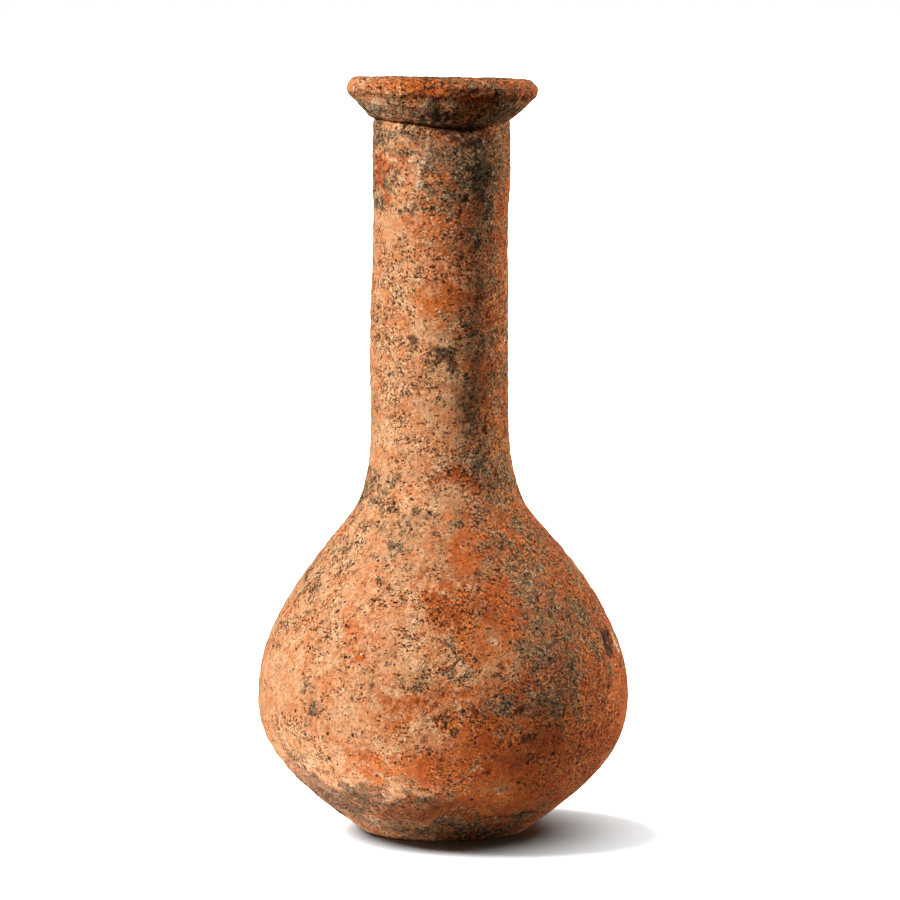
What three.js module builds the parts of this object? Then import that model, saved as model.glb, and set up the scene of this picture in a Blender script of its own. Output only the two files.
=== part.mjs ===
// A small wheel-thrown pottery flask: a squat onion-shaped body, a long straight neck
// and a flared rim with a rolled lip. It is one fired clay body, hollow and open at the mouth.
// Millimetres, +Z up. The origin is on the ground, under the middle of the body.
// Turn 0 is the front, along -Y, and turns grow towards +X.
import * as THREE from "three";

// Driving dimensions: the outside of the body, from the ground up
const footRadius = 13.8;
const footEdgeRadius = 1.7;
const hipSlope = THREE.MathUtils.degToRad(35);
const bodyRadius = 32.3;
const bellyHeight = 23;
const shoulderRise = 31.6;
const shoulderRadius = 16;
const shoulderSlope = THREE.MathUtils.degToRad(49.5);

// Driving dimensions: the outside of the neck and the rim
const neckRootRise = 17;
const neckRadius = 11.9;
const neckLength = 51.4;
const pinchLength = 11;
const pinchDepth = 0.35;
const foldOverhang = 0.5;
const foldThickness = 0.4;
const flareRise = 2.8;
const flareSlope = THREE.MathUtils.degToRad(38);
const lipUndersideRadius = 15.5;
const lipUndersideSlope = THREE.MathUtils.degToRad(46);
const lipRadius = 16.5;
const lipThickness = 3.9;
const lipTopRounding = 2;
const lipFlatWidth = 1;

// Driving dimensions: the thickness of the clay and the depth of the mouth
const bodyWall = 4.5;
const neckWall = 4.2;
const floorThickness = 5;
const mouthDepth = 11;
const mouthSlope = THREE.MathUtils.degToRad(35);

// Driving dimensions: what the thrower's hand left uneven
const neckLean = 0.85;
const neckReturn = 0.45;
const rimShift = 0.2;
const rimTilt = THREE.MathUtils.degToRad(1.1);
const foldSag = 1.5;
const foldSagTurn = THREE.MathUtils.degToRad(18);
const foldSagSpread = THREE.MathUtils.degToRad(42);
const foldSagReach = 12;

// How full each curve is: the pull at each end, as a share of the distance between its ends
const hipFullness = [0.385, 0.35];
const shoulderFullness = [0.33, 0.42];
const neckRootFullness = [0.255, 0.43];
const pinchFullness = [0.5, 0.3];
const flareFullness = [0.35, 0.35];
const mouthFullness = [0.35, 0.45];
const floorFullness = [0.4, 0.3];

const turnSegments = 56;
const smallestStep = 0.3;

// Heights and radii that follow from the sizes above
const shoulderHeight = bellyHeight + shoulderRise;
const neckFootHeight = shoulderHeight + neckRootRise;
const neckMiddleHeight = neckFootHeight + neckLength / 5;
const foldHeight = neckFootHeight + neckLength;
const flareHeight = foldHeight + foldThickness;
const lipUndersideHeight = flareHeight + flareRise;
const rimHeight = lipUndersideHeight + lipThickness;
const neckTopRadius = neckRadius - pinchDepth;
const boreRadius = neckTopRadius - neckWall;

const point = (radius, height) => new THREE.Vector2(radius, height);
const sloping = (angle) => point(Math.cos(angle), Math.sin(angle));
const outwards = point(1, 0);
const inwards = point(-1, 0);
const upwards = point(0, 1);
const downwards = point(0, -1);
const upTheHip = sloping(hipSlope);
const upTheShoulder = sloping(Math.PI - shoulderSlope);
const upTheFlare = sloping(flareSlope);
const upTheLipUnderside = sloping(lipUndersideSlope);
const downTheMouth = sloping(Math.PI + mouthSlope);

// A curve that leaves one point in one direction and reaches the next in another
function sweep(from, leaving, to, arriving, [pullFrom, pullTo]) {
  const reach = from.distanceTo(to);
  return new THREE.CubicBezierCurve(
    from,
    from.clone().addScaledVector(leaving, pullFrom * reach),
    to.clone().addScaledVector(arriving, -pullTo * reach),
    to,
  );
}

// A round corner: a quarter of an ellipse where the two directions stand square to each other
function roundCorner(from, leaving, to, arriving) {
  const quarterPull = (4 / 3) * Math.tan(Math.PI / 8);
  const chord = to.clone().sub(from);
  return new THREE.CubicBezierCurve(
    from,
    from.clone().addScaledVector(leaving, quarterPull * Math.abs(chord.dot(leaving))),
    to.clone().addScaledVector(arriving, -quarterPull * Math.abs(chord.dot(arriving))),
    to,
  );
}

// The outside of the body and neck, as curves that both skins of the clay follow
function bodyCurves() {
  const footEdgeTop = point(
    footRadius + footEdgeRadius * Math.sin(hipSlope),
    footEdgeRadius * (1 - Math.cos(hipSlope)),
  );
  const belly = point(bodyRadius, bellyHeight);
  const shoulder = point(shoulderRadius, shoulderHeight);
  const neckFoot = point(neckRadius, neckFootHeight);
  const pinchFoot = point(neckRadius, foldHeight - pinchLength);
  const neckTop = point(neckTopRadius, foldHeight);
  return {
    hip: sweep(footEdgeTop, upTheHip, belly, upwards, hipFullness),
    shoulder: sweep(belly, upwards, shoulder, upTheShoulder, shoulderFullness),
    neckRoot: sweep(shoulder, upTheShoulder, neckFoot, upwards, neckRootFullness),
    neck: new THREE.LineCurve(neckFoot, pinchFoot),
    pinch: sweep(pinchFoot, upwards, neckTop, upwards, pinchFullness),
  };
}

// The outside of the rim: a fold that overhangs the neck, a flare and a rolled lip
function rimOutside() {
  const foldEdge = point(neckTopRadius + foldOverhang, flareHeight);
  const lipUnderside = point(lipUndersideRadius, lipUndersideHeight);
  const lipWidest = point(lipRadius, rimHeight - lipTopRounding);
  const lipTop = point(lipRadius - lipTopRounding, rimHeight);
  return [
    ...sweep(foldEdge, upTheFlare, lipUnderside, upTheLipUnderside, flareFullness).getPoints(4),
    ...roundCorner(lipUnderside, upTheLipUnderside, lipWidest, upwards).getPoints(3),
    ...roundCorner(lipWidest, upwards, lipTop, inwards).getPoints(4),
  ];
}

// The mouth: a narrow flat on the lip, then a funnel down to the neck's bore
function mouthInside() {
  const lipInner = point(lipRadius - lipTopRounding - lipFlatWidth, rimHeight);
  const mouthFoot = point(boreRadius, rimHeight - mouthDepth);
  return sweep(lipInner, downTheMouth, mouthFoot, downwards, mouthFullness).getPoints(6);
}

// The inner skin of one outer curve: each point moved into the clay by the wall there
function innerSkin(curve, wallAtStart, wallAtEnd, steps) {
  return curve.getPoints(steps).map((outer, i) => {
    const tangent = curve.getTangent(i / steps);
    const intoTheClay = point(-tangent.y, tangent.x);
    return outer.addScaledVector(
      intoTheClay,
      THREE.MathUtils.lerp(wallAtStart, wallAtEnd, i / steps),
    );
  });
}

// The whole section, from the middle of the underside round to the middle of the floor inside
function section() {
  const { hip, shoulder, neckRoot, neck, pinch } = bodyCurves();
  const footEdge = roundCorner(point(footRadius, 0), outwards, hip.v0, upTheHip);
  const outside = [
    point(0, 0),
    ...footEdge.getPoints(2),
    ...hip.getPoints(9),
    ...shoulder.getPoints(10),
    ...neckRoot.getPoints(7),
    ...neck.getPoints(4),
    ...pinch.getPoints(3),
    ...rimOutside(),
  ];
  const aboveTheFloor = innerSkin(hip, bodyWall, bodyWall, 6).slice(1);
  const floorMiddle = point(0, floorThickness);
  const inside = [
    ...sweep(floorMiddle, outwards, aboveTheFloor[0], upTheHip, floorFullness).getPoints(3),
    ...aboveTheFloor,
    ...innerSkin(shoulder, bodyWall, bodyWall, 6),
    ...innerSkin(neckRoot, bodyWall, neckWall, 5),
    ...innerSkin(neck, neckWall, neckWall, 3),
  ];
  return withoutRepeats([...outside, ...mouthInside(), ...inside.reverse()]);
}

// Curves that follow each other share their end points, which are kept once
function withoutRepeats(points) {
  return points.filter((p, i) => i === 0 || p.distanceTo(points[i - 1]) > smallestStep);
}

// How far the centre of the clay at one height stands from the upright through the belly
function centreOffset(height) {
  const { smoothstep } = THREE.MathUtils;
  return (
    -neckLean * smoothstep(height, bellyHeight, neckMiddleHeight) +
    neckReturn * smoothstep(height, neckMiddleHeight, foldHeight) +
    rimShift * smoothstep(height, foldHeight, lipUndersideHeight)
  );
}

// How far the clay has sunk at one height, turn and distance to the right of the upright:
// the rim leans to the right, and the fold under it sags at the front
function sinking(height, turn, right) {
  const { smoothstep } = THREE.MathUtils;
  const aboveTheFold = smoothstep(height, foldHeight, lipUndersideHeight);
  const nearTheFold =
    smoothstep(height, foldHeight - foldSagReach, foldHeight) *
    (1 - smoothstep(height, flareHeight, rimHeight - lipTopRounding));
  const nearTheSag = Math.exp(-(((turn - foldSagTurn) / foldSagSpread) ** 2));
  return right * Math.tan(rimTilt) * aboveTheFold + foldSag * nearTheSag * nearTheFold;
}

// Moves each point of a true turned form to where the thrower's hand left it
function settle(position) {
  const v = new THREE.Vector3();
  for (let i = 0; i < position.count; i++) {
    v.fromBufferAttribute(position, i);
    const { x, y, z } = v;
    position.setXYZ(i, x + centreOffset(z), y, z - sinking(z, Math.atan2(x, -y), x));
  }
}

function vessel() {
  const geometry = new THREE.LatheGeometry(section(), turnSegments);
  geometry.rotateX(Math.PI / 2);
  settle(geometry.getAttribute("position"));
  geometry.computeVertexNormals();
  const firedClay = new THREE.MeshStandardMaterial({
    color: 0xc0784f,
    roughness: 0.92,
    metalness: 0,
  });
  const mesh = new THREE.Mesh(geometry, firedClay);
  mesh.name = "vessel";
  return mesh;
}

const unguentarium = new THREE.Group();
unguentarium.add(vessel());

export default unguentarium;
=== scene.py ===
"""A small wheel-thrown pottery flask, worn, pitted and crusted, on a pale floor.

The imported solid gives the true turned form. One closed mesh with the same section takes its
place and adds what the wheel and the ground left on it: throwing ridges, pits, crust, chips.
The turned form and its relief are worked out in millimetres, and put into the mesh in metres.
Turn 0 is the front, along -Y, and turns grow towards +X.
"""
import bpy
import numpy as np
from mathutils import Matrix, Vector


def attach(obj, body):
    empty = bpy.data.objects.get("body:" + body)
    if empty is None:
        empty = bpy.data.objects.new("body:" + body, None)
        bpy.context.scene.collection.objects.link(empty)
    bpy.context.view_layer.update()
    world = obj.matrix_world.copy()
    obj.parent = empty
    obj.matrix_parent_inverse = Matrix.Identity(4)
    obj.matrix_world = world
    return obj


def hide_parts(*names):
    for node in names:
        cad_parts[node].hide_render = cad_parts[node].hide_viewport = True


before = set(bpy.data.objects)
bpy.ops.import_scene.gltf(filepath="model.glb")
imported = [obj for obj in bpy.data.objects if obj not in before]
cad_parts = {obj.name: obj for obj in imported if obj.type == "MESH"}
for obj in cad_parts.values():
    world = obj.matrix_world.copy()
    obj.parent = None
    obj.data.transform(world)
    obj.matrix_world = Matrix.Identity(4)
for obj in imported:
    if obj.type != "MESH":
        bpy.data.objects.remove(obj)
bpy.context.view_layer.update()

MM = 0.001

# The turned form, as in the part's source, in millimetres
FOOT_RADIUS = 13.8
FOOT_EDGE_RADIUS = 1.7
HIP_SLOPE = np.radians(35)
BODY_RADIUS = 32.3
BELLY_HEIGHT = 23
SHOULDER_RISE = 31.6
SHOULDER_RADIUS = 16
SHOULDER_SLOPE = np.radians(49.5)
NECK_ROOT_RISE = 17
NECK_RADIUS = 11.9
NECK_LENGTH = 51.4
PINCH_LENGTH = 11
PINCH_DEPTH = 0.35
FOLD_OVERHANG = 0.5
FOLD_THICKNESS = 0.4
FLARE_RISE = 2.8
FLARE_SLOPE = np.radians(38)
LIP_UNDERSIDE_RADIUS = 15.5
LIP_UNDERSIDE_SLOPE = np.radians(46)
LIP_RADIUS = 16.5
LIP_THICKNESS = 3.9
LIP_TOP_ROUNDING = 2
LIP_FLAT_WIDTH = 1
BODY_WALL = 4.5
NECK_WALL = 4.2
FLOOR_THICKNESS = 5
MOUTH_DEPTH = 11
MOUTH_SLOPE = np.radians(35)

# What the thrower's hand left uneven
NECK_LEAN = 0.85
NECK_RETURN = 0.45
RIM_SHIFT = 0.2
RIM_TILT = np.radians(1.1)
FOLD_SAG = 1.5
FOLD_SAG_TURN = 18
FOLD_SAG_SPREAD = 42
FOLD_SAG_REACH = 12

# How full each curve of the section is, as the pull at each end
HIP_FULLNESS = (0.385, 0.35)
SHOULDER_FULLNESS = (0.33, 0.42)
NECK_ROOT_FULLNESS = (0.255, 0.43)
PINCH_FULLNESS = (0.5, 0.3)
FLARE_FULLNESS = (0.35, 0.35)
MOUTH_FULLNESS = (0.35, 0.45)
FLOOR_FULLNESS = (0.4, 0.3)

SHOULDER_HEIGHT = BELLY_HEIGHT + SHOULDER_RISE
NECK_FOOT_HEIGHT = SHOULDER_HEIGHT + NECK_ROOT_RISE
NECK_MIDDLE_HEIGHT = NECK_FOOT_HEIGHT + NECK_LENGTH / 5
FOLD_HEIGHT = NECK_FOOT_HEIGHT + NECK_LENGTH
FLARE_HEIGHT = FOLD_HEIGHT + FOLD_THICKNESS
LIP_UNDERSIDE_HEIGHT = FLARE_HEIGHT + FLARE_RISE
RIM_HEIGHT = LIP_UNDERSIDE_HEIGHT + LIP_THICKNESS
NECK_TOP_RADIUS = NECK_RADIUS - PINCH_DEPTH
BORE_RADIUS = NECK_TOP_RADIUS - NECK_WALL

# The mesh: columns round each stretch, halved where the form narrows, and the step between rings.
# The columns stand closer together at the front. Then where they double on the underside, as a
# share of the foot's radius, and how high the floor inside runs up into the hip.
BODY_COLUMNS = 400
NECK_COLUMNS = 200
INSIDE_COLUMNS = 100
BODY_STEP = 0.52
NECK_STEP = 0.49
RIM_STEP = 0.36
MOUTH_STEP = 0.7
INSIDE_STEP = 1.7
UNDERSIDE_STEP = 1.3
COLUMN_HALVING_RADIUS = 19.5
FRONT_CROWDING = 0.2
UNDERSIDE_SPLIT = 0.5
FLOOR_CORNER_HEIGHT = 1.5 * FLOOR_THICKNESS

# The relief, in millimetres: what the wheel left, how thick the skin and the crust lie, and the
# lumps of the collar and the lip
BROAD_SWELL = 0.16
SMALL_SWELL = 0.07
SWELL_LOST_AT_LIP = 0.6
RIDGE_SPACING = 2.9
RIDGE_DEPTH = 0.045
GRAIN_DEPTH = 0.045
SKIN_THICKNESS = 0.10
SKIN_EDGE_WANDER = 0.12
CRUST_THICKNESS = 0.10
CRUST_UNEVENNESS = 0.10
COLLAR_LUMPS = 0.14
LIP_LUMPS = 0.18

# Pits: the cell that holds one at most, the seed, the narrowest radius, what the widest adds to
# it and the number that scatters the radii; then their depth and how often they come
WIDE_PITS = (3.4, 81, 0.4, 0.55, 7)
WIDE_PIT_DEPTH = 0.32
WIDE_PITS_AT_LEAST = 0.06
WIDE_PITS_WHERE_PITTED = 0.30
SMALL_PITS = (1.7, 91, 0.25, 0.35, 5)
SMALL_PIT_DEPTH = 0.16
SMALL_PITS_WHERE_PITTED = 0.7
SMALL_PIT_DARKNESS = 0.8

# What the rim has besides: a fold cut under at the front, a fuller flare, a groove under the lip
# and a lip worn lower, and below them a small step round the neck
UNDERCUT_DEPTH = 0.75
UNDERCUT_HALF_HEIGHT = 0.45
FLARE_FULLNESS_ADDED = 0.36
FLARE_FULLNESS_LOST_LOW = 0.20
FLARE_FULLNESS_LOST_HIGH = 0.16
GROOVE_HEIGHT = 126.5
GROOVE_HALF_HEIGHT = 0.45
GROOVE_DEPTH = 0.38
LIP_WEAR = 0.3
STEP_DEPTH = 0.14
STEP_WANDER = 0.7

# How the relief fades: at the seat, inside the mouth, and on top of the lip
SEAT_FADE_HEIGHT = 1.5
INSIDE_RELIEF = 0.5
LIP_TOP_CALM = 0.6

# Taken off the relief, so that its middle lies on the true turned form
RELIEF_MIDDLE = 0.2

# The photograph's view: a camera about 0.8 m in front and a little above the rim
CAMERA_PLACE = (0.00103, -0.8, 0.144)
CAMERA_AIM = (0.00103, 0, 0.0658)
CAMERA_LENS = 186.5

# The floor, in metres: a round sheet round the flask that throws light up, and the rest
FLOOR_MIDDLE = 0.001
FLOOR_SHEET = 0.040
FLOOR_REACH = 30
FLOOR_SIDES = 96
FLOOR_GREY = 0.2
FLOOR_ROUGHNESS = 0.9
FLOOR_SHINE = 0.1

# The lights, as azimuth from behind the camera and growing to the right, elevation, strength and
# softness, angles in degrees. The floor's own two lights bring its grey up to white.
KEY_LIGHT = (-57, 27, 1.56, 14)
KEY_COLOUR = (1.0, 0.98, 0.96)
LIGHT_BEHIND = (120, 18, 1.4, 34)
COLOUR_BEHIND = (1.0, 0.93, 0.78)
FLOOR_LIGHT = (-110, 55, 23, 50)
FAR_FLOOR_LIGHT = (120, 73, 4.7, 66)

# The room: white to the camera's eye, and to the flask a dim warm shade
ROOM_STRENGTH = 0.17
WARM_SHADE = (1.0, 0.83, 0.54, 1.0)
WHITE = (1.0, 1.0, 1.0, 1.0)


def point(radius, height):
    """A place on the section, by its radius and its height."""
    return np.array([radius, height], float)


def sloping(angle):
    """The direction that rises from outward by an angle: its cosine out, its sine up."""
    return point(np.cos(angle), np.sin(angle))


OUTWARDS, INWARDS, UPWARDS, DOWNWARDS = point(1, 0), point(-1, 0), point(0, 1), point(0, -1)
UP_THE_HIP = sloping(HIP_SLOPE)
UP_THE_SHOULDER = sloping(np.pi - SHOULDER_SLOPE)
UP_THE_FLARE = sloping(FLARE_SLOPE)
UP_THE_LIP = sloping(LIP_UNDERSIDE_SLOPE)
DOWN_THE_MOUTH = sloping(np.pi + MOUTH_SLOPE)
FOLD_EDGE = point(NECK_TOP_RADIUS + FOLD_OVERHANG, FLARE_HEIGHT)
CURVE_POINTS = 200


def cubic(start, pull_start, pull_end, end):
    """The cubic through four control points: the blend by (1-t)^3, 3t(1-t)^2, 3t^2(1-t), t^3."""
    t = np.linspace(0, 1, CURVE_POINTS)[:, None]
    return (
        (1 - t) ** 3 * start
        + 3 * t * (1 - t) ** 2 * pull_start
        + 3 * t**2 * (1 - t) * pull_end
        + t**3 * end
    )


def sweep(start, leaving, end, arriving, fullness):
    """A curve that leaves one point in one direction and reaches the next in another."""
    reach = np.hypot(*(end - start))
    pull_start = start + leaving * fullness[0] * reach
    pull_end = end - arriving * fullness[1] * reach
    return cubic(start, pull_start, pull_end, end)


def round_corner(start, leaving, end, arriving):
    """A quarter of an ellipse where the two directions stand square to each other."""
    pull = 4 / 3 * np.tan(np.pi / 8)
    chord = end - start
    return cubic(
        start,
        start + leaving * pull * abs(chord @ leaving),
        end - arriving * pull * abs(chord @ arriving),
        end,
    )


def line(start, end):
    """The straight line between two points: the blend by 1-t and t."""
    t = np.linspace(0, 1, CURVE_POINTS)[:, None]
    return (1 - t) * start + t * end


def skin_inside(curve, wall_start, wall_end):
    """The curve moved into the clay, square to itself, by a wall that changes evenly along it."""
    tangent = np.gradient(curve, axis=0)
    tangent /= np.linalg.norm(tangent, axis=1)[:, None]
    wall = np.linspace(wall_start, wall_end, len(curve))[:, None]
    return curve + wall * np.stack([-tangent[:, 1], tangent[:, 0]], 1)


def evenly(path, step):
    """Points along a path at an even step, with both its ends."""
    along = np.append(0, np.cumsum(np.hypot(*np.diff(path, axis=0).T)))
    at = np.linspace(0, along[-1], max(1, round(along[-1] / step)) + 1)
    return np.stack([np.interp(at, along, path[:, 0]), np.interp(at, along, path[:, 1])], 1)


def section_stretches():
    """The closed section from the middle of the underside round to the middle of the floor
    inside, as (points, columns round) for each stretch between two sharp corners. Each stretch is
    a chain of cubics, quarter ellipses and straight lines, cut into even steps."""
    foot = point(FOOT_RADIUS, 0)
    foot_edge_top = point(
        FOOT_RADIUS + FOOT_EDGE_RADIUS * np.sin(HIP_SLOPE),
        FOOT_EDGE_RADIUS * (1 - np.cos(HIP_SLOPE)),
    )
    belly = point(BODY_RADIUS, BELLY_HEIGHT)
    shoulder_top = point(SHOULDER_RADIUS, SHOULDER_HEIGHT)
    neck_foot = point(NECK_RADIUS, NECK_FOOT_HEIGHT)
    pinch_foot = point(NECK_RADIUS, FOLD_HEIGHT - PINCH_LENGTH)
    neck_top = point(NECK_TOP_RADIUS, FOLD_HEIGHT)
    lip_underside = point(LIP_UNDERSIDE_RADIUS, LIP_UNDERSIDE_HEIGHT)
    lip_widest = point(LIP_RADIUS, RIM_HEIGHT - LIP_TOP_ROUNDING)
    lip_top = point(LIP_RADIUS - LIP_TOP_ROUNDING, RIM_HEIGHT)
    lip_inner = point(LIP_RADIUS - LIP_TOP_ROUNDING - LIP_FLAT_WIDTH, RIM_HEIGHT)
    mouth_foot = point(BORE_RADIUS, RIM_HEIGHT - MOUTH_DEPTH)

    hip = sweep(foot_edge_top, UP_THE_HIP, belly, UPWARDS, HIP_FULLNESS)
    shoulder = sweep(belly, UPWARDS, shoulder_top, UP_THE_SHOULDER, SHOULDER_FULLNESS)
    neck_root = sweep(shoulder_top, UP_THE_SHOULDER, neck_foot, UPWARDS, NECK_ROOT_FULLNESS)
    neck = line(neck_foot, pinch_foot)
    pinch = sweep(pinch_foot, UPWARDS, neck_top, UPWARDS, PINCH_FULLNESS)
    foot_edge = round_corner(foot, OUTWARDS, foot_edge_top, UP_THE_HIP)
    outside = np.vstack([foot_edge, hip, shoulder, neck_root, neck, pinch])
    narrows = (outside[:, 0] < COLUMN_HALVING_RADIUS) & (outside[:, 1] > BELLY_HEIGHT)
    narrows_at = np.argmax(narrows)

    rim = np.vstack([
        sweep(FOLD_EDGE, UP_THE_FLARE, lip_underside, UP_THE_LIP, FLARE_FULLNESS),
        round_corner(lip_underside, UP_THE_LIP, lip_widest, UPWARDS),
        round_corner(lip_widest, UPWARDS, lip_top, INWARDS),
        line(lip_top, lip_inner),
    ])
    mouth = sweep(lip_inner, DOWN_THE_MOUTH, mouth_foot, DOWNWARDS, MOUTH_FULLNESS)
    hip_inside = skin_inside(hip, BODY_WALL, BODY_WALL)
    hip_inside = hip_inside[hip_inside[:, 1] > FLOOR_CORNER_HEIGHT]
    inside = np.vstack([
        sweep(point(0, FLOOR_THICKNESS), OUTWARDS, hip_inside[0], UP_THE_HIP, FLOOR_FULLNESS),
        hip_inside,
        skin_inside(shoulder, BODY_WALL, BODY_WALL),
        skin_inside(neck_root, BODY_WALL, NECK_WALL),
        skin_inside(neck, NECK_WALL, NECK_WALL),
        mouth_foot[None],
    ])[::-1]
    underside_split = foot * UNDERSIDE_SPLIT
    return [
        (evenly(line(point(0, 0), underside_split), UNDERSIDE_STEP), INSIDE_COLUMNS),
        (evenly(line(underside_split, foot), UNDERSIDE_STEP), NECK_COLUMNS),
        (evenly(outside[: narrows_at + 1], BODY_STEP), BODY_COLUMNS),
        (evenly(outside[narrows_at:], NECK_STEP), NECK_COLUMNS),
        (evenly(line(neck_top, FOLD_EDGE), RIM_STEP), NECK_COLUMNS),
        (evenly(rim, RIM_STEP), NECK_COLUMNS),
        (evenly(mouth, MOUTH_STEP), NECK_COLUMNS),
        (evenly(inside, INSIDE_STEP), INSIDE_COLUMNS),
    ]


def rings():
    """Radius and height, outward direction and number of columns of every ring of the mesh. The
    outward direction is the section's own direction turned by a right angle."""
    stretches = section_stretches()
    path = np.vstack([stretches[0][0]] + [points[1:] for points, _ in stretches[1:]])
    columns = np.concatenate(
        [np.full(len(stretches[0][0]), stretches[0][1])]
        + [np.full(len(points) - 1, count) for points, count in stretches[1:]]
    )
    tangent = np.gradient(path, axis=0)
    tangent /= np.linalg.norm(tangent, axis=1)[:, None]
    outward = np.stack([tangent[:, 1], -tangent[:, 0]], 1)
    outward[0], outward[-1] = DOWNWARDS, UPWARDS
    columns[0] = columns[-1] = 1
    return path, outward, columns


def between(ring_start, columns, other_start, other_columns):
    """The triangles between a ring and the next: two to a column where both have as many columns,
    three where one has twice as many, and a fan where one is a pole."""
    if columns == other_columns:
        here = ring_start + np.arange(columns)
        here_next = ring_start + (np.arange(columns) + 1) % columns
        there = other_start + np.arange(columns)
        there_next = other_start + (np.arange(columns) + 1) % columns
        return np.vstack([
            np.stack([here, here_next, there_next], 1),
            np.stack([here, there_next, there], 1),
        ])
    if columns == 1:
        there = other_start + np.arange(other_columns)
        there_next = other_start + (np.arange(other_columns) + 1) % other_columns
        return np.stack([np.full(other_columns, ring_start), there_next, there], 1)
    if other_columns > columns or other_columns == 1:
        turned = between(other_start, other_columns, ring_start, columns)
        return turned[:, ::-1]
    few = np.arange(other_columns)
    fine = ring_start + 2 * few
    fine_middle = fine + 1
    fine_next = ring_start + (2 * few + 2) % columns
    coarse = other_start + few
    coarse_next = other_start + (few + 1) % other_columns
    return np.vstack([
        np.stack([fine, fine_middle, coarse], 1),
        np.stack([fine_middle, coarse_next, coarse], 1),
        np.stack([fine_middle, fine_next, coarse_next], 1),
    ])


def smooth_step(value, low, high):
    """0 below the first value, 1 above the second, and 3t^2 - 2t^3 between them."""
    t = np.clip((value - low) / (high - low), 0, 1)
    return t * t * (3 - 2 * t)


def band(height, begins, full, fades, gone):
    """1 within a band of heights and 0 outside it, with a smooth step at its foot and its top."""
    return smooth_step(height, begins, full) * (1 - smooth_step(height, fades, gone))


def bell(distance, half_width):
    """e to the power of minus the square of a distance over its half width."""
    return np.exp(-((distance / half_width) ** 2))


def facing(turn, middle, half_width):
    """A bell over the turn: 1 where the clay faces the middle, and 0 well away from it."""
    signed_turn = (turn + 180) % 360 - 180
    return bell(signed_turn - middle, half_width)


def turned_to(turn, middle):
    """The cosine of the angle between the way the clay faces and one turn, in degrees."""
    return np.cos(np.radians(turn - middle))


# The noise: what mixes the bits of a place, the shift of each octave, the gain that brings the
# blend out to about -1 to 1, and the seeds and the start of the search for the nearest point
LATTICE_PRIMES = (73856093, 19349663, 83492791)
SEED_PRIME = 40503
BIT_SHIFTS = (15, 13, 16)
BIT_MIXER = 0x2C1B3C6D
OCTAVE_SHIFT = 17.3
NOISE_GAIN = 1.6
FARTHEST = 9.0
OWN_NUMBER_SEED = 7


def lattice_number(x, y, z, seed):
    """A fixed number from 0 to 1 for each whole-number place, mixed from its bits."""
    prime_x, prime_y, prime_z = LATTICE_PRIMES
    mixed = (x * prime_x) ^ (y * prime_y) ^ (z * prime_z) ^ (seed * SEED_PRIME)
    for shift in BIT_SHIFTS:
        mixed = ((mixed ^ (mixed >> shift)) * BIT_MIXER) & 0xFFFFFFFF
    return ((mixed >> 8) & 0xFFFF) / 0xFFFF


def noise(spot, cell, seed, octaves=1, falloff=0.5):
    """Smooth noise from about -1 to 1: lattice numbers blended by 6t^5 - 15t^4 + 10t^3, added
    over octaves of half the cell and a smaller share each."""
    total, share, shares = 0, 1.0, 0
    for octave in range(octaves):
        scaled = spot / cell * 2**octave + OCTAVE_SHIFT * octave
        base = np.floor(scaled).astype(np.int64)
        part = scaled - base
        blend = part**3 * (part * (part * 6 - 15) + 10)
        layer = 0
        for corner in np.ndindex(2, 2, 2):
            weight = np.prod(np.where(corner, blend, 1 - blend), axis=1)
            layer = layer + weight * lattice_number(*(base + corner).T, seed + octave)
        total = total + share * (2 * layer - 1)
        shares += share
        share *= falloff
    return total / shares * NOISE_GAIN


def nearest_seed(spot, cell, seed):
    """Distance to the nearest of one scattered point in each cell, and that point's own number."""
    scaled = spot / cell
    base = np.floor(scaled).astype(np.int64)
    nearest = np.full(len(spot), FARTHEST)
    number = np.zeros(len(spot))
    for step in np.ndindex(3, 3, 3):
        place = (base + step - 1).T
        centre = np.stack([place[k] + lattice_number(*place, seed + k) for k in range(3)], 1)
        distance = np.linalg.norm(scaled - centre, axis=1)
        closer = distance < nearest
        nearest = np.where(closer, distance, nearest)
        number = np.where(closer, lattice_number(*place, seed + OWN_NUMBER_SEED), number)
    return nearest * cell, number


def round_pits(spot, cell, seed, narrowest, spread, scatter, share):
    """Pits round the nearest scattered points: 1 in a pit and 0 outside it, with a smooth step over
    its narrowest radius. A pit is there where the point's own number is under the share."""
    distance, number = nearest_seed(spot, cell, seed)
    radius = narrowest + spread * (number * scatter % 1)
    return smooth_step(radius - distance, 0, narrowest) * (number < share)


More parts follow.
